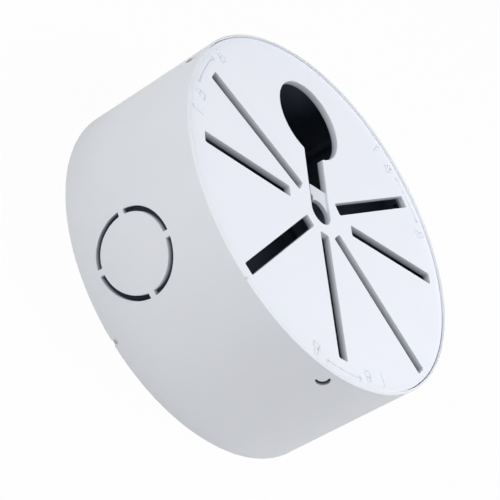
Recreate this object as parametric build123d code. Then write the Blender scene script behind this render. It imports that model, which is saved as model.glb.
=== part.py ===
from build123d import *
import os
from math import cos, degrees, radians, sin, tan

# Round camera junction box with a twist-lock adapter plate.
# Millimetres and degrees. The origin is the centre of the back face, +Z points out of the front,
# and the side conduit knock-out faces -X. Angles run anticlockwise from +X, seen from the front.

# Shell
front_radius = 62.0
box_height = 51.3
wall_draft = 0.52
wall_thickness = 2.6
floor_thickness = 3.0
floor_chamfer = 2.0
front_edge_chamfer = 0.6
back_edge_chamfer = 0.4
cut_overshoot = 1.0

# Rim that frames the plate
rim_width = 0.7
rim_flat = 0.1
plate_recess = 0.9
plate_gap = 0.2

# Adapter plate
plate_thickness = 2.3
plate_edge_chamfer = 0.15

# Keyhole: round cable opening, neck and hub, on one axis through the plate's centre
keyhole_angle = 64.3
keyhole_radius = 14.2
keyhole_rim_margin = 10.6
neck_width = 9.0
junction_round = 0.8

# Tongue that bridges the neck beside the hub
tongue_recess = 0.8
tongue_inner_radius = 4.5
tongue_outer_distance = 9.7
tongue_side_gap = 1.3
tongue_corner_relief = 1.7
tongue_relief_distance = 4.1
tongue_root = 1.0
tongue_tube_gap = 1.0

# Tube under the hub
hub_tube_bore_radius = 5.3
hub_tube_wall = 1.4
hub_tube_length = 6.0

# Radial screw slots: angle, distance of the inner end from the centre and of the outer end from the plate's edge
slot_width = 4.2
slot_corner_round = 0.7
screw_slots = [
    (123.2, 10.3, 6.3),
    (153.6, 15.0, 7.1),
    (199.8, 8.8, 4.1),
    (245.6, 8.3, 7.0),
    (290.3, 9.1, 2.3),
    (334.9, 15.0, 5.2),
    (4.7, 10.2, 5.3),
]

# Bayonet: lugs under the plate hook below ledges on the shell's wall
bayonet_count = 3
unlock_turn = 25.0
lug_start = -2.2
lug_span = 10.9
lug_leg_thickness = 1.4
lug_foot_thickness = 1.9
lug_running_gap = 0.2
lug_wall_gap = 0.4
lug_core_radius = 1.3
lug_core_depth = 1.4
lug_core_offset = 1.0
ledge_start = 2.6
ledge_span = 7.6
ledge_reach = 2.3
ledge_thickness = 2.3
stop_gap = 0.3
stop_width = 1.8
stop_reach = 2.2
rest_stop_height = 6.0

# Catch tabs: curved slits through the wall at the lugs
catch_angle = -1.07
catch_depth = 1.1
catch_arc_radius = 2.15
catch_half_span = 66.0
catch_tilt = -37.0
catch_slit_width = 0.7

# Side conduit knock-out
knockout_angle = 180.0
knockout_height = 20.8
knockout_radius = 14.1
knockout_slit = 1.4
knockout_web = 2.0

# Nicks at the two ends of the mould line
rim_nick_angle = 201.2
rim_nick_width = 0.8
rim_nick_depth = 0.5
rim_nick_height = 0.9
back_nick_angle = 198.6
back_nick_width = 1.6
back_nick_height = 1.8
back_nick_depth = 1.0

# Wall screws
wall_screw_circle = 88.9
wall_screw_count = 4
wall_screw_start = 45.0
wall_screw_hole_radius = 2.4

# Rear cable hole and its grommet
cable_hole_radius = 14.1
grommet_flange_radius = 16.8
grommet_flange_thickness = 1.4
grommet_lip_reach = 1.6
grommet_lip_thickness = 1.3
grommet_wall = 1.2
grommet_cable_radius = 3.5
grommet_nose_height = 7.5
grommet_nose_length = 3.5
grommet_seat_clearance = 0.1

# Rear gasket
gasket_edge_margin = 3.5
gasket_width = 4.5
gasket_thickness = 1.2
gasket_seat_clearance = 0.1

# Worked-out levels and radii
back_radius = front_radius - box_height * tan(radians(wall_draft))
plate_face = box_height - plate_recess
seat_height = plate_face - plate_thickness
rim_inner_radius = front_radius - rim_width
plate_radius = rim_inner_radius - plate_gap
keyhole_distance = plate_radius - keyhole_rim_margin - keyhole_radius
cavity_radius = front_radius - wall_thickness
ledge_inner_radius = cavity_radius - ledge_reach
leg_outer_radius = ledge_inner_radius - lug_wall_gap
leg_inner_radius = leg_outer_radius - lug_leg_thickness
foot_outer_radius = cavity_radius - lug_wall_gap
foot_top = seat_height - ledge_thickness - lug_running_gap
foot_bottom = foot_top - lug_foot_thickness
stop_inner_radius = cavity_radius - stop_reach
catch_height = seat_height - catch_depth
gasket_outer_radius = back_radius - gasket_edge_margin
wall_overlap = wall_thickness / 2
bayonet_angles = [index * 360.0 / bayonet_count for index in range(bayonet_count)]


def wall_radius(level):
    """Outside radius of the drafted wall at a height."""
    return back_radius + level * tan(radians(wall_draft))


def inner_wall_radius(level):
    """Inside radius of the drafted wall at a height below the plate's seat."""
    return cavity_radius - (seat_height - level) * tan(radians(wall_draft))


def turned(points):
    """Solid of revolution about Z from (radius, height) points."""
    outline = Plane.XZ * make_face(Polyline(*points, close=True))
    return revolve(outline, Axis.Z)


def ring_sector(inner, outer, low, high, start, span):
    """Part of a ring about Z, from one angle over a span."""
    section = Plane.XZ * Pos((inner + outer) / 2, (low + high) / 2) * Rectangle(outer - inner, high - low)
    return Rot(0, 0, start) * revolve(section, Axis.Z, span)


def upright(radius, low, high, x=0.0, y=0.0):
    """Cylinder along Z between two heights."""
    return Pos(x, y, (low + high) / 2) * Cylinder(radius, high - low)


def at_angle(angle, distance):
    """X and Y of a point at an angle and distance from the axis."""
    return distance * cos(radians(angle)), distance * sin(radians(angle))


def wall_angle(length):
    """Angle that a length spans along the inside of the wall."""
    return degrees(length / cavity_radius)


def outer_circle(solid, level):
    """Widest round edge of a solid at a height."""
    circles = solid.edges().filter_by(GeomType.CIRCLE).filter_by_position(Axis.Z, level, level)
    return circles.sort_by(SortBy.RADIUS)[-1]


def shell_cup():
    """Drafted cup with its stepped rim and broken edges."""
    cup = turned([
        (0, 0),
        (wall_radius(0), 0),
        (front_radius, box_height),
        (rim_inner_radius, box_height),
        (rim_inner_radius, seat_height),
        (cavity_radius, seat_height),
        (inner_wall_radius(floor_thickness), floor_thickness),
        (0, floor_thickness),
    ])
    cup = chamfer(outer_circle(cup, box_height), min(front_edge_chamfer, rim_width - rim_flat))
    cup = chamfer(outer_circle(cup, 0), back_edge_chamfer)
    return chamfer(outer_circle(cup, floor_thickness), floor_chamfer)


def knockout_cut():
    """Round slit through the side wall, interrupted by four webs."""
    depth = 2 * (wall_thickness + cut_overshoot)
    length = 2 * (knockout_radius + cut_overshoot)
    disc = Cylinder(knockout_radius - knockout_slit, depth)
    webs = Box(knockout_web, length, depth) + Box(length, knockout_web, depth)
    slit = Cylinder(knockout_radius, depth) - disc - webs
    return Rot(0, 0, knockout_angle) * Pos(cavity_radius, 0, knockout_height) * Rot(0, 90, 0) * slit


def catch_cut(turn):
    """Curved slit that frees a catch tab in the wall."""
    arc = CenterArc((0, 0), catch_arc_radius, catch_tilt - catch_half_span, 2 * catch_half_span)
    inside = (cavity_radius - cut_overshoot, 0, catch_height)
    face = Plane(origin=inside, x_dir=(0, 1, 0), z_dir=(1, 0, 0)) * SlotArc(arc, catch_slit_width)
    return Rot(0, 0, turn + catch_angle) * extrude(face, wall_thickness + 2 * cut_overshoot)


def bayonet_ledge(turn):
    """Ledge that a lug hooks under, with the stop at the lug's rest end."""
    outer = cavity_radius + wall_overlap
    low = seat_height - ledge_thickness
    ledge = ring_sector(ledge_inner_radius, outer, low, seat_height, turn + ledge_start, ledge_span)
    start = turn + lug_start - wall_angle(stop_gap + stop_width)
    low = seat_height - rest_stop_height
    high = seat_height - lug_running_gap
    return ledge + ring_sector(stop_inner_radius, outer, low, high, start, wall_angle(stop_width))


def stop_rib(turn):
    """Upright rib on the wall that ends the plate's turn."""
    start = turn + lug_start + lug_span + unlock_turn + wall_angle(stop_gap)
    outer = inner_wall_radius(floor_thickness) + wall_overlap
    low = floor_thickness / 2
    return ring_sector(stop_inner_radius, outer, low, foot_top, start, wall_angle(stop_width))


def back_ring(clearance, low):
    """Ring of the rear gasket, widened by a clearance on both sides."""
    outer = gasket_outer_radius + clearance
    inner = gasket_outer_radius - gasket_width - clearance
    ring = upright(outer, low, gasket_thickness)
    return ring - upright(inner, low - cut_overshoot, gasket_thickness + cut_overshoot)


def screw_spots():
    """Places of the wall screws."""
    step = 360.0 / wall_screw_count
    angles = [wall_screw_start + index * step for index in range(wall_screw_count)]
    return [at_angle(angle, wall_screw_circle / 2) for angle in angles]


def base_shell():
    """Moulded cup with everything that is one piece with it."""
    shell = shell_cup()
    for turn in bayonet_angles:
        shell += bayonet_ledge(turn)
        shell += stop_rib(turn)
        shell -= catch_cut(turn)
    for x, y in screw_spots():
        shell -= upright(wall_screw_hole_radius, -cut_overshoot, floor_thickness + cut_overshoot, x, y)
    shell -= knockout_cut()
    shell -= upright(cable_hole_radius, -cut_overshoot, floor_thickness + cut_overshoot)
    seat = grommet_flange_radius + grommet_seat_clearance
    shell -= upright(seat, -cut_overshoot, grommet_flange_thickness)
    shell -= back_ring(gasket_seat_clearance, -cut_overshoot)
    rim_nick = Box(2 * rim_nick_depth, rim_nick_width, 2 * rim_nick_height)
    shell -= Rot(0, 0, rim_nick_angle) * Pos(front_radius, 0, box_height) * rim_nick
    back_nick = Box(2 * back_nick_depth, back_nick_width, 2 * back_nick_height)
    return shell - Rot(0, 0, back_nick_angle) * Pos(wall_radius(0), 0, 0) * back_nick


def keyhole_outline():
    """Round opening joined to the hub by the neck, as one flat face."""
    neck = Pos(keyhole_distance / 2, 0) * SlotCenterToCenter(keyhole_distance, neck_width)
    face = neck + Pos(keyhole_distance, 0) * Circle(keyhole_radius)
    corners = face.vertices().filter_by_position(Axis.X, neck_width, keyhole_distance - neck_width / 2)
    return fillet(corners, junction_round)


def tongue():
    """Bridge across the neck, hinged on one side and free on the other."""
    top = plate_face - tongue_recess
    free_side = neck_width / 2 - tongue_side_gap
    root_side = -neck_width / 2 - tongue_root
    middle = Pos(tongue_outer_distance / 2, (free_side + root_side) / 2)
    blank = middle * Rectangle(tongue_outer_distance, free_side - root_side)
    relief = Rectangle(2 * tongue_corner_relief, tongue_corner_relief)
    blank -= Circle(tongue_inner_radius) + Pos(tongue_relief_distance, free_side) * relief
    return Pos(0, 0, seat_height) * extrude(blank, top - seat_height)


def screw_slot(angle, inner, rim_margin):
    """Radial slot through the plate."""
    outer = plate_radius - rim_margin
    face = Pos((inner + outer) / 2, 0) * RectangleRounded(outer - inner, slot_width, slot_corner_round)
    slot = extrude(face, plate_thickness + 2 * cut_overshoot)
    return Rot(0, 0, angle) * Pos(0, 0, seat_height - cut_overshoot) * slot


def lug(turn):
    """Leg and foot that hook under a ledge, with the leg's core hole."""
    start = turn + lug_start
    root = seat_height + plate_thickness / 2
    leg = ring_sector(leg_inner_radius, leg_outer_radius, foot_bottom, root, start, lug_span)
    foot = ring_sector(leg_inner_radius, foot_outer_radius, foot_bottom, foot_top, start, lug_span)
    middle = (leg_inner_radius + leg_outer_radius) / 2
    core = Rot(0, 90, 0) * Cylinder(lug_core_radius, 2 * lug_leg_thickness)
    core = Pos(middle, 0, seat_height - lug_core_depth) * core
    return leg + foot - Rot(0, 0, start + lug_span / 2 + wall_angle(lug_core_offset)) * core


def adapter_plate():
    """Twist-lock plate that carries the camera."""
    plate = upright(plate_radius, seat_height, plate_face)
    tube_end = seat_height - hub_tube_length
    plate += upright(hub_tube_bore_radius + hub_tube_wall, tube_end, seat_height + plate_thickness / 2)
    opening = extrude(keyhole_outline(), plate_thickness + tongue_tube_gap + cut_overshoot)
    plate -= Rot(0, 0, keyhole_angle) * Pos(0, 0, seat_height - tongue_tube_gap) * opening
    face_edges = plate.edges().filter_by_position(Axis.Z, plate_face, plate_face)
    plate = chamfer(face_edges, plate_edge_chamfer)
    for angle, inner, rim_margin in screw_slots:
        plate -= screw_slot(angle, inner, rim_margin)
    plate -= upright(hub_tube_bore_radius, tube_end - cut_overshoot, seat_height)
    for turn in bayonet_angles:
        plate += lug(turn)
    return plate + Rot(0, 0, keyhole_angle) * tongue()


def rear_gasket():
    """Foam ring in its groove in the back face."""
    return back_ring(0, 0)


def cable_grommet():
    """Soft grommet with a flange, a lip and a hollow nose for the cable."""
    flange = grommet_flange_radius
    waist = cable_hole_radius - grommet_seat_clearance
    lip = cable_hole_radius + grommet_lip_reach
    lip_top = floor_thickness + grommet_lip_thickness
    nose = grommet_cable_radius + grommet_wall
    nose_top = grommet_nose_height + grommet_nose_length
    return turned([
        (flange, 0),
        (flange, grommet_flange_thickness),
        (waist, grommet_flange_thickness),
        (waist, floor_thickness),
        (lip, floor_thickness),
        (cable_hole_radius - grommet_wall, lip_top),
        (nose, grommet_nose_height),
        (nose, nose_top),
        (grommet_cable_radius, nose_top),
        (grommet_cable_radius, grommet_nose_height),
        (cable_hole_radius - 2 * grommet_wall, floor_thickness),
        (cable_hole_radius - 2 * grommet_wall, 0),
    ])


nodes = {
    "base_shell": base_shell,
    "adapter_plate": adapter_plate,
    "rear_gasket": rear_gasket,
    "cable_grommet": cable_grommet,
}

os.makedirs("parts", exist_ok=True)
for name, make in nodes.items():
    solid = make()
    print(name, len(solid.solids()), round(solid.volume, 1))
    export_step(solid, f"parts/{name}.step")
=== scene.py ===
# Round camera junction box: finish with painted shade, embossed signs, studio and camera around the
# imported model.
import math
import bmesh
import bpy
from mathutils import Matrix, Vector


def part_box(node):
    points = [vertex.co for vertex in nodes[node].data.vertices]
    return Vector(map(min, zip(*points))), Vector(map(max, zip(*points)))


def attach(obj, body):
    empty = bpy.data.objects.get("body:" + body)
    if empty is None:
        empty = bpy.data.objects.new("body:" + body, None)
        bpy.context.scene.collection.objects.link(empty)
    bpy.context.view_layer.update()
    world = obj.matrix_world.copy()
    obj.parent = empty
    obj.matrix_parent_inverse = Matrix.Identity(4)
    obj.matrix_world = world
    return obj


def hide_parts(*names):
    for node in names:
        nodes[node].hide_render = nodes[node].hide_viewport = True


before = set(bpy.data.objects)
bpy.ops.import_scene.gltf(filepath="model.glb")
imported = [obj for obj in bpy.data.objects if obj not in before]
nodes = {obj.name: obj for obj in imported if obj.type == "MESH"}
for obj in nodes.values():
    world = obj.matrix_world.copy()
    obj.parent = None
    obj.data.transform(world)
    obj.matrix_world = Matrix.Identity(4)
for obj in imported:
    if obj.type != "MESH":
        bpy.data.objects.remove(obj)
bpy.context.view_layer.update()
mm = 0.001  # the scene is in metres

shellLow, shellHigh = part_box("base_shell")
plateLow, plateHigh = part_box("adapter_plate")
frontRadius = (shellHigh.x - shellLow.x) / 2
rimTop = shellHigh.z
plateFace = plateHigh.z
print("frame loaded: front radius", round(frontRadius, 4),
      "rim at", round(rimTop, 4), "plate face at", round(plateFace, 4))


# Camera, at the photograph's viewing angle
cameraPlace = {
    "position": (-0.58818, -0.16688, 0.36902),
    "right": (0.54853, -0.36325, 0.7531),
    "forward": (0.83613, 0.23831, -0.49406),
    "focalPixels": 2228.6,   # for a frame that is 500 wide
    "framePixels": 500,
    "sensorWidth": 36.0,
    "clipStart": 0.01,
}


def makeCamera():
    data = bpy.data.cameras.new("photoCamera")
    data.sensor_width = cameraPlace["sensorWidth"]
    data.lens = cameraPlace["focalPixels"] / cameraPlace["framePixels"] * cameraPlace["sensorWidth"]
    data.clip_start = cameraPlace["clipStart"]
    camera = bpy.data.objects.new("photoCamera", data)
    bpy.context.scene.collection.objects.link(camera)
    back = -Vector(cameraPlace["forward"]).normalized()
    right = Vector(cameraPlace["right"])
    right = (right - back * right.dot(back)).normalized()
    up = back.cross(right)
    turn = Matrix((right, up, back)).transposed()
    camera.matrix_world = Matrix.Translation(cameraPlace["position"]) @ turn.to_4x4()
    bpy.context.scene.camera = camera


makeCamera()
print("camera placed")


# Shader helpers
def newGroup(name, inputs, outputs):
    tree = bpy.data.node_groups.new(name, "ShaderNodeTree")
    for label, kind, value in inputs:
        socket = tree.interface.new_socket(name=label, in_out="INPUT", socket_type=kind)
        if value is not None:
            socket.default_value = value
    for label, kind in outputs:
        tree.interface.new_socket(name=label, in_out="OUTPUT", socket_type=kind)
    return tree, tree.nodes.new("NodeGroupInput"), tree.nodes.new("NodeGroupOutput")


def mathNode(tree, operation, first, second=None, clamp=False):
    node = tree.nodes.new("ShaderNodeMath")
    node.operation = operation
    node.use_clamp = clamp
    for index, value in enumerate((first, second)):
        if value is None:
            continue
        if isinstance(value, (int, float)):
            node.inputs[index].default_value = value
        else:
            tree.links.new(value, node.inputs[index])
    return node.outputs[0]


def noiseNode(tree, vector, scale, look):
    node = tree.nodes.new("ShaderNodeTexNoise")
    node.inputs["Detail"].default_value = look["detail"]
    node.inputs["Roughness"].default_value = look["roughness"]
    tree.links.new(vector, node.inputs["Vector"])
    tree.links.new(scale, node.inputs["Scale"])
    return node.outputs["Fac"]


def mixColor(tree, factor, first, second):
    node = tree.nodes.new("ShaderNodeMix")
    node.data_type = "RGBA"
    if isinstance(factor, (int, float)):
        node.inputs["Factor"].default_value = factor
    else:
        tree.links.new(factor, node.inputs["Factor"])
    for label, value in (("A", first), ("B", second)):
        socket = next(s for s in node.inputs if s.name == label and s.type == "RGBA")
        if isinstance(value, (tuple, list)):
            socket.default_value = (*value[:3], 1.0)
        else:
            tree.links.new(value, socket)
    return next(s for s in node.outputs if s.type == "RGBA")


def polarParts(tree, vector):
    split = tree.nodes.new("ShaderNodeSeparateXYZ")
    tree.links.new(vector, split.inputs[0])
    x, y, z = split.outputs
    square = mathNode(tree, "ADD", mathNode(tree, "MULTIPLY", x, x), mathNode(tree, "MULTIPLY", y, y))
    return mathNode(tree, "SQRT", square), mathNode(tree, "ARCTAN2", y, x), z


# Grain of a spark-eroded mould: fine pits, a soft ripple below them and a faint cloudiness of tone
grainNoise = {
    "pits": {"scale": 4200.0, "detail": 3.0, "roughness": 0.6, "share": 0.6},
    "ripple": {"scale": 260.0, "detail": 1.0, "roughness": 0.4, "share": 0.4},
    "cloud": {"scale": 42.0, "detail": 3.0, "roughness": 0.5},
}


def makeMouldGrain():
    pits, ripple, cloud = grainNoise["pits"], grainNoise["ripple"], grainNoise["cloud"]
    tree, source, result = newGroup(
        "mouldGrain",
        [("Vector", "NodeSocketVector", None), ("Grain Scale", "NodeSocketFloat", pits["scale"]),
         ("Ripple Scale", "NodeSocketFloat", ripple["scale"]),
         ("Cloud Scale", "NodeSocketFloat", cloud["scale"])],
        [("Height", "NodeSocketFloat"), ("Tone", "NodeSocketFloat")])
    vector = source.outputs["Vector"]
    fine = noiseNode(tree, vector, source.outputs["Grain Scale"], pits)
    waves = noiseNode(tree, vector, source.outputs["Ripple Scale"], ripple)
    tone = noiseNode(tree, vector, source.outputs["Cloud Scale"], cloud)
    fine = mathNode(tree, "MULTIPLY", fine, pits["share"])
    waves = mathNode(tree, "MULTIPLY", waves, ripple["share"])
    tree.links.new(mathNode(tree, "ADD", fine, waves), result.inputs["Height"])
    tree.links.new(tone, result.inputs["Tone"])
    return tree


# Mask of the space inside a radius and between two heights, with soft borders, marking where shade is
# painted into the colour
def makePaintedShadeMask():
    tree, source, result = newGroup(
        "paintedShadeMask",
        [("Vector", "NodeSocketVector", None), ("Radius", "NodeSocketFloat", 0.06),
         ("Low", "NodeSocketFloat", 0.0), ("High", "NodeSocketFloat", 0.05),
         ("Softness", "NodeSocketFloat", 0.0005)],
        [("Mask", "NodeSocketFloat")])
    radius, _, z = polarParts(tree, source.outputs["Vector"])
    softness = source.outputs["Softness"]

    def ramp(first, second):
        return mathNode(tree, "DIVIDE", mathNode(tree, "SUBTRACT", first, second), softness, clamp=True)

    inner = ramp(source.outputs["Radius"], radius)
    above = ramp(z, source.outputs["Low"])
    below = ramp(source.outputs["High"], z)
    column = mathNode(tree, "MULTIPLY", inner, above)
    tree.links.new(mathNode(tree, "MULTIPLY", column, below), result.inputs["Mask"])
    return tree


# Narrow upright line at an angle round the wall, as the two halves of a mould leave it
def makeMouldLine():
    tree, source, result = newGroup(
        "mouldLine",
        [("Vector", "NodeSocketVector", None), ("Angle", "NodeSocketFloat", 0.0),
         ("Half Width", "NodeSocketFloat", 0.003)],
        [("Mask", "NodeSocketFloat")])
    _, angle, _ = polarParts(tree, source.outputs["Vector"])
    away = mathNode(tree, "ABSOLUTE", mathNode(tree, "SUBTRACT", angle, source.outputs["Angle"]))
    share = mathNode(tree, "DIVIDE", away, source.outputs["Half Width"])
    tree.links.new(mathNode(tree, "SUBTRACT", 1.0, share, clamp=True), result.inputs["Mask"])
    return tree


mouldGrain = makeMouldGrain()
paintedShadeMask = makePaintedShadeMask()
mouldLine = makeMouldLine()


def useGroup(tree, group, vector, values):
    node = tree.nodes.new("ShaderNodeGroup")
    node.node_tree = group
    tree.links.new(vector, node.inputs["Vector"])
    for label, value in values.items():
        node.inputs[label].default_value = value
    return node


def newMaterial(name, roughness, specular):
    material = bpy.data.materials.new(name)
    material.use_nodes = True
    tree = material.node_tree
    shader = tree.nodes["Principled BSDF"]
    shader.inputs["Roughness"].default_value = roughness
    shader.inputs["Specular IOR Level"].default_value = specular
    place = tree.nodes.new("ShaderNodeTexCoord")
    return material, tree, shader, place.outputs["Object"]


def addBump(tree, shader, height, strength, distance):
    bump = tree.nodes.new("ShaderNodeBump")
    bump.inputs["Strength"].default_value = strength
    bump.inputs["Distance"].default_value = distance
    tree.links.new(height, bump.inputs["Height"])
    tree.links.new(bump.outputs["Normal"], shader.inputs["Normal"])


# White moulded plastic of the shell and the plate, with painted shade: the faces that look into the box are
# painted dark
whitePlastic = {
    "color": (0.80, 0.82, 0.86),
    "cloud": (0.77, 0.79, 0.835),
    # painted shade: dark colour laid where shade falls, inside the box, in the slits and down the slot
    # walls
    "paintedShadeColor": (0.095, 0.112, 0.155),
    "roughness": 0.55,
    "roughnessSpread": 0.1,
    "specular": 0.3,
    "grainScale": 4200.0,
    "grainStrength": 0.18,
    "grainDepth": 0.00004,
}


def makeWhitePlastic(name, paintedShadeMasks, line=None, look=whitePlastic):
    material, tree, shader, place = newMaterial(name, look["roughness"], look["specular"])
    grain = useGroup(tree, mouldGrain, place, {"Grain Scale": look["grainScale"]})
    color = mixColor(tree, grain.outputs["Tone"], look["color"], look["cloud"])
    height = grain.outputs["Height"]
    if line:
        seam = useGroup(tree, mouldLine, place, {"Angle": line["angle"], "Half Width": line["halfWidth"]})
        shade = mathNode(tree, "MULTIPLY", seam.outputs["Mask"], line["shade"])
        color = mixColor(tree, shade, color, line["color"])
        raised = mathNode(tree, "MULTIPLY", seam.outputs["Mask"], line["relief"])
        height = mathNode(tree, "ADD", height, raised)
    for values in paintedShadeMasks:
        # paint shade into the colour inside each mask
        paintedShade = useGroup(tree, paintedShadeMask, place, values)
        color = mixColor(tree, paintedShade.outputs["Mask"], color, look["paintedShadeColor"])
    tree.links.new(color, shader.inputs["Base Color"])
    spread = mathNode(tree, "MULTIPLY", grain.outputs["Tone"], look["roughnessSpread"])
    tree.links.new(mathNode(tree, "ADD", spread, look["roughness"]), shader.inputs["Roughness"])
    addBump(tree, shader, height, look["grainStrength"], look["grainDepth"])
    return material


wallThickness = 2.6 * mm
plateThickness = 2.3 * mm
seatHeight = plateFace - plateThickness
cavityRadius = frontRadius - wallThickness
insideTop = seatHeight + 0.3 * mm
# painted shade for the shell, darker with depth
shellPaintedShade = [   # inside of the cup, curved slits and slit round the knock-out, which darken with depth
    {"Radius": cavityRadius + 0.6 * mm, "Low": 1.6 * mm, "High": insideTop, "Softness": 0.4 * mm},
    {"Radius": frontRadius - 0.25 * mm, "Low": 42.5 * mm, "High": 48.4 * mm, "Softness": 0.8 * mm},
    {"Radius": frontRadius - 0.7 * mm, "Low": 4.0 * mm, "High": 37.0 * mm, "Softness": 1.6 * mm},
]
# painted shade for the plate: slot walls darker with depth, and its underside
platePaintedShade = [   # walls of the slots, then everything under the plate
    {"Radius": frontRadius, "Low": 0.0, "High": plateFace - 0.1 * mm, "Softness": 4.0 * mm},
    {"Radius": frontRadius, "Low": 0.0, "High": insideTop, "Softness": 0.4 * mm},
]
seamLook = {
    "angle": math.radians(198.9 - 360.0),
    "halfWidth": 0.0045,        # in radians
    "shade": 0.15,
    "color": (0.7, 0.72, 0.75),
    "relief": 0.5,
}
plateLook = dict(whitePlastic, color=(0.785, 0.807, 0.868), cloud=(0.755, 0.777, 0.845))
shellPlasticWithPaintedShade = makeWhitePlastic("shellPlasticWithPaintedShade", shellPaintedShade, seamLook)
platePlasticWithPaintedShade = makeWhitePlastic("platePlasticWithPaintedShade", platePaintedShade, None, plateLook)


# Closed-cell foam of the rear gasket
gasketLook = {
    "color": (0.03, 0.03, 0.032),
    "poreColor": (0.008, 0.008, 0.009),
    "poreScale": 1500.0,
    "poreStrength": 0.6,
    "poreDepth": 0.0003,
    "roughness": 0.85,
    "specular": 0.2,
}


def makeGasketFoam():
    look = gasketLook
    material, tree, shader, place = newMaterial("gasketFoam", look["roughness"], look["specular"])
    cells = tree.nodes.new("ShaderNodeTexVoronoi")
    cells.inputs["Scale"].default_value = look["poreScale"]
    tree.links.new(place, cells.inputs["Vector"])
    color = mixColor(tree, cells.outputs["Distance"], look["poreColor"], look["color"])
    tree.links.new(color, shader.inputs["Base Color"])
    addBump(tree, shader, cells.outputs["Distance"], look["poreStrength"], look["poreDepth"])
    return material


# Soft rubber of the cable grommet
grommetLook = {
    "color": (0.02, 0.02, 0.021),
    "dustColor": (0.06, 0.06, 0.062),
    "scales": {"Grain Scale": 3000.0, "Ripple Scale": 420.0, "Cloud Scale": 90.0},
    "grainStrength": 0.3,
    "grainDepth": 0.0001,
    "roughness": 0.6,
    "specular": 0.3,
}


def makeGrommetRubber():
    look = grommetLook
    material, tree, shader, place = newMaterial("grommetRubber", look["roughness"], look["specular"])
    grain = useGroup(tree, mouldGrain, place, look["scales"])
    color = mixColor(tree, grain.outputs["Tone"], look["color"], look["dustColor"])
    tree.links.new(color, shader.inputs["Base Color"])
    addBump(tree, shader, grain.outputs["Height"], look["grainStrength"], look["grainDepth"])
    return material


finishes = {
    "base_shell": shellPlasticWithPaintedShade,
    "adapter_plate": platePlasticWithPaintedShade,
    "rear_gasket": makeGasketFoam(),
    "cable_grommet": makeGrommetRubber(),
}
for name, material in finishes.items():
    for slot in nodes[name].material_slots:
        slot.material = material
print("finishes assigned:", ", ".join(sorted(finishes)))


# The shell with its wall slits opened to what the photograph shows
slits = {
    "catchCount": 3,
    "catchAngle": -1.07,        # middle of the first catch tab, in degrees
    "catchHeight": seatHeight - 1.1 * mm,
    "catchEdge": 2.5 * mm,      # radius of the curved slit's outer edge
    "catchTilt": -37.0,         # direction of its bulge, in degrees
    "catchHalfSpan": 64.0,
    "catchBulge": 1.3 * mm,     # how far the edge moves out at the bulge
    "discAngle": 180.0,
    "discHeight": 20.8 * mm,
    "discEdge": 12.7 * mm,      # radius of the knock-out disc
    "discTrim": 0.3 * mm,       # how far the disc's edge draws in
    "webHalf": 1.0 * mm,
    "near": 0.03 * mm,          # a point this close to an edge belongs to it
    "merge": 0.001 * mm,
}


def inWall(point, angle):
    # distance out of the axis and along the wall, for a piece of wall at an angle
    turn = math.radians(angle)
    depth = point.x * math.cos(turn) + point.y * math.sin(turn)
    side = point.y * math.cos(turn) - point.x * math.sin(turn)
    return depth, side


def backToWall(point, side, height, angle):
    # the same distance from the axis as the point had
    reach = math.hypot(point.x, point.y)
    depth = math.sqrt(reach * reach - side * side)
    turn = math.radians(angle)
    x = depth * math.cos(turn) - side * math.sin(turn)
    y = depth * math.sin(turn) + side * math.cos(turn)
    return Vector((x, y, height))


def openCatch(point, angle):
    depth, side = inWall(point, angle)
    rise = point.z - slits["catchHeight"]
    away = math.degrees(math.atan2(rise, side)) - slits["catchTilt"]
    onEdge = abs(math.hypot(side, rise) - slits["catchEdge"]) <= slits["near"]
    if depth < 0 or not onEdge or abs(away) > slits["catchHalfSpan"]:
        return point
    fade = math.cos(math.pi / 2 * away / slits["catchHalfSpan"])
    edge = slits["catchEdge"] + slits["catchBulge"] * fade
    share = edge / math.hypot(side, rise)
    return backToWall(point, side * share, slits["catchHeight"] + rise * share, angle)


def trimDisc(point):
    depth, side = inWall(point, slits["discAngle"])
    rise = point.z - slits["discHeight"]
    if depth < 0 or abs(math.hypot(side, rise) - slits["discEdge"]) > slits["near"]:
        return point
    edge = slits["discEdge"] - slits["discTrim"]
    if abs(abs(side) - slits["webHalf"]) < slits["near"]:
        rise = math.copysign(math.sqrt(edge * edge - side * side), rise)
    elif abs(abs(rise) - slits["webHalf"]) < slits["near"]:
        side = math.copysign(math.sqrt(edge * edge - rise * rise), side)
    else:
        share = edge / math.hypot(side, rise)
        side, rise = side * share, rise * share
    return backToWall(point, side, slits["discHeight"] + rise, slits["discAngle"])


def mergedCopy(mesh):
    # one closed skin with the normals that the loose triangles had
    mesh = mesh.copy()
    normals = [corner.vector.copy() for corner in mesh.corner_normals]
    skin = bmesh.new()
    skin.from_mesh(mesh)
    bmesh.ops.remove_doubles(skin, verts=skin.verts, dist=slits["merge"])
    skin.to_mesh(mesh)
    skin.free()
    if len(mesh.loops) == len(normals):
        mesh.normals_split_custom_set(normals)
    return mesh


def makeSlottedShell():
    mesh = mergedCopy(nodes["base_shell"].data)
    step = 360.0 / slits["catchCount"]
    angles = [slits["catchAngle"] + step * index for index in range(slits["catchCount"])]
    moved = 0
    for vertex in mesh.vertices:
        place = trimDisc(vertex.co.copy())
        for angle in angles:
            place = openCatch(place, angle)
        moved += place != vertex.co
        vertex.co = place
    piece = bpy.data.objects.new("slotted_shell", mesh)
    bpy.context.scene.collection.objects.link(piece)
    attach(piece, "base")
    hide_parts("base_shell")
    print("shell slits opened:", moved, "of", len(mesh.vertices), "points moved")


makeSlottedShell()


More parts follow.
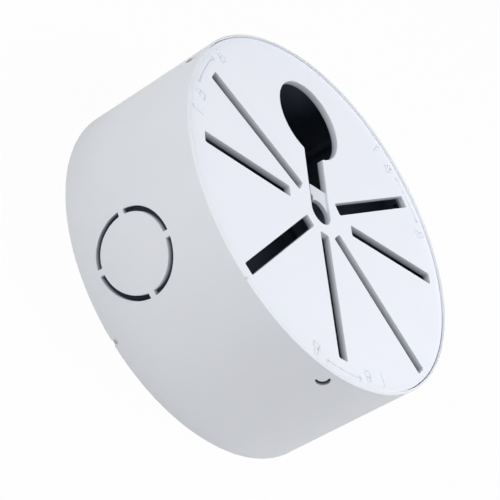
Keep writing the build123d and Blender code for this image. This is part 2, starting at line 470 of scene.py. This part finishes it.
# Embossed signs on the plate: two padlocks, a double-headed arrow between them and a bar, three times round
signs = {
    "copies": 3,
    "closedAngle": 137.2,
    "openAngle": 112.3,
    "barAngle": 145.1,
    "arrowFrom": 117.4,
    "arrowTo": 132.6,
    "padlockRadius": 56.7 * mm,
    "arrowRadius": 58.1 * mm,
    "barRadius": 56.7 * mm,
    "strokeWidth": 0.4 * mm,
    "relief": 0.16 * mm,
    "sunk": 0.1 * mm,
    "cornerRound": 0.25 * mm,
    "cornerSteps": 3,
    "arrowBand": 2.0,          # width of the arrow's shaft, in strokes
    "barBand": 1.2,            # width of the index bar, in strokes
    "arrowSteps": 24,
    "bowSteps": 10,            # steps round a padlock's shackle
    "openLift": 0.75,          # how far the open padlock's shackle stands up, in mm
    "body": (1.3, 1.95),       # half width and height of a padlock's body, in mm
    "shackle": (0.8, 1.0),     # half width and straight height of its shackle, in mm
    "barb": (1.0, 0.85),       # length along and across of an arrow's barb, in mm
    "barbTip": 0.7,            # share of the barb's length that lies past the shaft's end
    "bar": (2.25, 1.2),        # half height of the index bar and length of its tick, in mm
    # painted shade: the plate's colour made darker to stand in for shading at the signs' raised edges
    "color": (0.725, 0.747, 0.808),
}


def onPlate(angle, radius, across, out):
    # across runs clockwise and out runs away from the centre, both in mm
    turn = math.radians(angle)
    outward = Vector((math.cos(turn), math.sin(turn), 0))
    clockwise = Vector((math.sin(turn), -math.cos(turn), 0))
    return outward * (radius + out * mm) + clockwise * (across * mm) + Vector((0, 0, plateFace))


def padlockStrokes(angle, lift):
    halfWidth, height = signs["body"]
    reach, straight = signs["shackle"]
    radius = signs["padlockRadius"]
    corners = [(-halfWidth, -height), (halfWidth, -height), (halfWidth, 0), (-halfWidth, 0)]
    body = [onPlate(angle, radius, across, out) for across, out in corners]
    steps = signs["bowSteps"]
    bow = [(-reach * math.cos(math.pi * k / steps), straight + lift + reach * math.sin(math.pi * k / steps))
           for k in range(steps + 1)]
    shackle = [(-reach, 0)] + bow + [(reach, lift)]
    shackle = [onPlate(angle, radius, across, out) for across, out in shackle]
    return [(body, True, 1.0), (shackle, False, 1.0)]


def arrowStrokes():
    steps = signs["arrowSteps"]
    first, last = signs["arrowFrom"], signs["arrowTo"]
    radius = signs["arrowRadius"]
    shaft = [onPlate(first + (last - first) * k / steps, radius, 0, 0) for k in range(steps + 1)]
    strokes = [(shaft, False, signs["arrowBand"])]
    back, side = signs["barb"]
    tip = back * signs["barbTip"]
    tail = tip - back
    for angle, sense in ((first, 1), (last, -1)):
        points = [(tail * sense, side), (tip * sense, 0), (tail * sense, -side)]
        strokes.append(([onPlate(angle, radius, across, out) for across, out in points], False, 1.0))
    return strokes


def barStrokes():
    half, tick = signs["bar"]
    corners = [(0, -half), (0, half), (tick, half)]
    points = [onPlate(signs["barAngle"], signs["barRadius"], across, out) for across, out in corners]
    return [(points, False, signs["barBand"])]


def makeStrokeCurve():
    data = bpy.data.curves.new("signStrokes", "CURVE")
    data.dimensions = "3D"
    closedLock = padlockStrokes(signs["closedAngle"], 0.0)
    openLock = padlockStrokes(signs["openAngle"], signs["openLift"])
    for points, closed, width in closedLock + openLock + arrowStrokes() + barStrokes():
        spline = data.splines.new("POLY")
        spline.points.add(len(points) - 1)
        for target, point in zip(spline.points, points):
            target.co = (*point, 1.0)
            target.radius = width
        spline.use_cyclic_u = closed
    return data


def makeSignTree():
    tree = bpy.data.node_groups.new("signRing", "GeometryNodeTree")
    tree.interface.new_socket(name="Geometry", in_out="INPUT", socket_type="NodeSocketGeometry")
    tree.interface.new_socket(name="Copies", in_out="INPUT", socket_type="NodeSocketInt")
    for label in ("Stroke Width", "Relief", "Sunk", "Face Height", "Corner Round"):
        tree.interface.new_socket(name=label, in_out="INPUT", socket_type="NodeSocketFloat")
    tree.interface.new_socket(name="Material", in_out="INPUT", socket_type="NodeSocketMaterial")
    tree.interface.new_socket(name="Geometry", in_out="OUTPUT", socket_type="NodeSocketGeometry")
    source = tree.nodes.new("NodeGroupInput")
    result = tree.nodes.new("NodeGroupOutput")
    link = tree.links.new

    rounded = tree.nodes.new("GeometryNodeFilletCurve")
    rounded.mode = "POLY"
    rounded.inputs["Count"].default_value = signs["cornerSteps"]
    rounded.inputs["Limit Radius"].default_value = True
    link(source.outputs["Geometry"], rounded.inputs["Curve"])
    link(source.outputs["Corner Round"], rounded.inputs["Radius"])

    flat = tree.nodes.new("GeometryNodeSetCurveNormal")
    flat.mode = "Z_UP"
    link(rounded.outputs[0], flat.inputs["Curve"])

    profile = tree.nodes.new("GeometryNodeCurvePrimitiveQuadrilateral")
    profile.mode = "RECTANGLE"
    link(source.outputs["Stroke Width"], profile.inputs["Width"])
    link(mathNode(tree, "MULTIPLY", source.outputs["Relief"], 2.0), profile.inputs["Height"])

    sweep = tree.nodes.new("GeometryNodeCurveToMesh")
    sweep.inputs["Fill Caps"].default_value = True
    link(flat.outputs[0], sweep.inputs["Curve"])
    link(profile.outputs[0], sweep.inputs["Profile Curve"])

    place = tree.nodes.new("GeometryNodeInputPosition")
    split = tree.nodes.new("ShaderNodeSeparateXYZ")
    link(place.outputs[0], split.inputs[0])
    above = mathNode(tree, "GREATER_THAN", split.outputs["Z"], source.outputs["Face Height"])
    top = mathNode(tree, "ADD", source.outputs["Face Height"], source.outputs["Relief"])
    low = mathNode(tree, "SUBTRACT", source.outputs["Face Height"], source.outputs["Sunk"])
    rise = mathNode(tree, "MULTIPLY", above, mathNode(tree, "SUBTRACT", top, low))
    join = tree.nodes.new("ShaderNodeCombineXYZ")
    link(split.outputs["X"], join.inputs["X"])
    link(split.outputs["Y"], join.inputs["Y"])
    link(mathNode(tree, "ADD", low, rise), join.inputs["Z"])
    level = tree.nodes.new("GeometryNodeSetPosition")
    link(sweep.outputs[0], level.inputs["Geometry"])
    link(join.outputs[0], level.inputs["Position"])

    spots = tree.nodes.new("GeometryNodePoints")
    link(source.outputs["Copies"], spots.inputs["Count"])
    index = tree.nodes.new("GeometryNodeInputIndex")
    step = mathNode(tree, "DIVIDE", 2 * math.pi, source.outputs["Copies"])
    turn = tree.nodes.new("ShaderNodeCombineXYZ")
    link(mathNode(tree, "MULTIPLY", index.outputs[0], step), turn.inputs["Z"])
    ring = tree.nodes.new("GeometryNodeInstanceOnPoints")
    link(spots.outputs[0], ring.inputs["Points"])
    link(level.outputs[0], ring.inputs["Instance"])
    link(turn.outputs[0], ring.inputs["Rotation"])

    real = tree.nodes.new("GeometryNodeRealizeInstances")
    link(ring.outputs[0], real.inputs[0])
    paint = tree.nodes.new("GeometryNodeSetMaterial")
    link(real.outputs[0], paint.inputs["Geometry"])
    link(source.outputs["Material"], paint.inputs["Material"])
    link(paint.outputs[0], result.inputs[0])
    return tree


def setInput(modifier, label, value):
    for item in modifier.node_group.interface.items_tree:
        if item.item_type == "SOCKET" and item.in_out == "INPUT" and item.name == label:
            modifier[item.identifier] = value


def makeSigns():
    # the signs take the plate's plastic with a darker tone, as painted shade
    look = dict(plateLook, color=signs["color"], cloud=signs["color"])
    material = makeWhitePlastic("signPlasticWithPaintedShade", [], None, look)
    guide = bpy.data.objects.new("signGuide", makeStrokeCurve())
    bpy.context.scene.collection.objects.link(guide)
    modifier = guide.modifiers.new("signRing", "NODES")
    modifier.node_group = makeSignTree()
    values = {
        "Copies": signs["copies"],
        "Stroke Width": signs["strokeWidth"],
        "Relief": signs["relief"],
        "Sunk": signs["sunk"],
        "Face Height": plateFace,
        "Corner Round": signs["cornerRound"],
        "Material": material,
    }
    for label, value in values.items():
        setInput(modifier, label, value)
    bpy.context.view_layer.update()
    depsgraph = bpy.context.evaluated_depsgraph_get()
    mesh = bpy.data.meshes.new_from_object(guide.evaluated_get(depsgraph), depsgraph=depsgraph)
    bpy.data.objects.remove(guide)
    piece = bpy.data.objects.new("embossed_signs", mesh)
    bpy.context.scene.collection.objects.link(piece)
    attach(piece, "plate")
    print("signs embossed:", len(mesh.polygons), "faces")


makeSigns()


# Studio: pale floor, soft lamps and an even world
studio = {
    "floorSize": 8.0,
    "floorColor": (0.6, 0.6, 0.6),
    "floorGlow": 0.97,         # share of plain white that the camera sees, the rest keeps the shadow
    "floorDark": 0.055,        # no glow within this radius, under the box
    "worldStrength": 0.17,
    "lamps": [
        {"name": "topLamp", "at": (0.033, -0.125, 0.508), "size": 0.35, "power": 0.66},
        {"name": "highLamp", "at": (0.39, -0.225, 0.804), "size": 0.5, "power": 4.3},
        {"name": "sideLamp", "at": (-0.476, 0.824, 0.334), "size": 0.6, "power": 1.7},
        {"name": "frontLamp", "at": (-0.814, 0.47, 0.367), "size": 0.6, "power": 3.6},
        {"name": "lowLamp", "at": (-0.476, -0.824, 0.334), "size": 0.6, "power": 2.7},
    ],
    "target": (0.0, 0.0, 0.025),
}


def makeFloor():
    half = studio["floorSize"] / 2
    mesh = bpy.data.meshes.new("studioFloor")
    corners = [(-half, -half, 0), (half, -half, 0), (half, half, 0), (-half, half, 0)]
    mesh.from_pydata(corners, [], [(0, 1, 2, 3)])
    floor = bpy.data.objects.new("studioFloor", mesh)
    bpy.context.scene.collection.objects.link(floor)
    material = bpy.data.materials.new("paleFloor")
    material.use_nodes = True
    tree = material.node_tree
    tree.nodes.remove(tree.nodes["Principled BSDF"])
    matt = tree.nodes.new("ShaderNodeBsdfDiffuse")
    matt.inputs["Color"].default_value = (*studio["floorColor"], 1.0)
    glow = tree.nodes.new("ShaderNodeEmission")
    rays = tree.nodes.new("ShaderNodeLightPath")
    seen = mathNode(tree, "MAXIMUM", rays.outputs["Is Camera Ray"], rays.outputs["Is Glossy Ray"])
    seen = mathNode(tree, "MAXIMUM", seen, rays.outputs["Is Transmission Ray"])
    place = tree.nodes.new("ShaderNodeTexCoord")
    radius = polarParts(tree, place.outputs["Object"])[0]
    seen = mathNode(tree, "MULTIPLY", seen, mathNode(tree, "GREATER_THAN", radius, studio["floorDark"]))
    blend = tree.nodes.new("ShaderNodeMixShader")
    tree.links.new(mathNode(tree, "MULTIPLY", seen, studio["floorGlow"]), blend.inputs[0])
    tree.links.new(matt.outputs[0], blend.inputs[1])
    tree.links.new(glow.outputs[0], blend.inputs[2])
    tree.links.new(blend.outputs[0], tree.nodes["Material Output"].inputs["Surface"])
    mesh.materials.append(material)


def makeLamp(place):
    data = bpy.data.lights.new(place["name"], "AREA")
    data.shape = "DISK"
    data.size = place["size"]
    data.energy = place["power"]
    lamp = bpy.data.objects.new(place["name"], data)
    lamp.location = place["at"]
    aim = Vector(studio["target"]) - lamp.location
    lamp.rotation_euler = aim.to_track_quat("-Z", "Y").to_euler()
    bpy.context.scene.collection.objects.link(lamp)


def makeWorld():
    world = bpy.data.worlds.new("studioWorld")
    bpy.context.scene.world = world
    world.use_nodes = True
    tree = world.node_tree
    surround = tree.nodes["Background"]
    surround.inputs["Color"].default_value = (1.0, 1.0, 1.0, 1.0)
    surround.inputs["Strength"].default_value = studio["worldStrength"]
    white = tree.nodes.new("ShaderNodeBackground")
    white.inputs["Strength"].default_value = 1.0
    rays = tree.nodes.new("ShaderNodeLightPath")
    blend = tree.nodes.new("ShaderNodeMixShader")
    tree.links.new(rays.outputs["Is Camera Ray"], blend.inputs[0])
    tree.links.new(surround.outputs[0], blend.inputs[1])
    tree.links.new(white.outputs[0], blend.inputs[2])
    tree.links.new(blend.outputs[0], tree.nodes["World Output"].inputs["Surface"])


makeFloor()
makeWorld()
for place in studio["lamps"]:
    makeLamp(place)
bpy.context.scene.view_settings.view_transform = "Standard"
print("studio lit with", len(studio["lamps"]), "lamps")
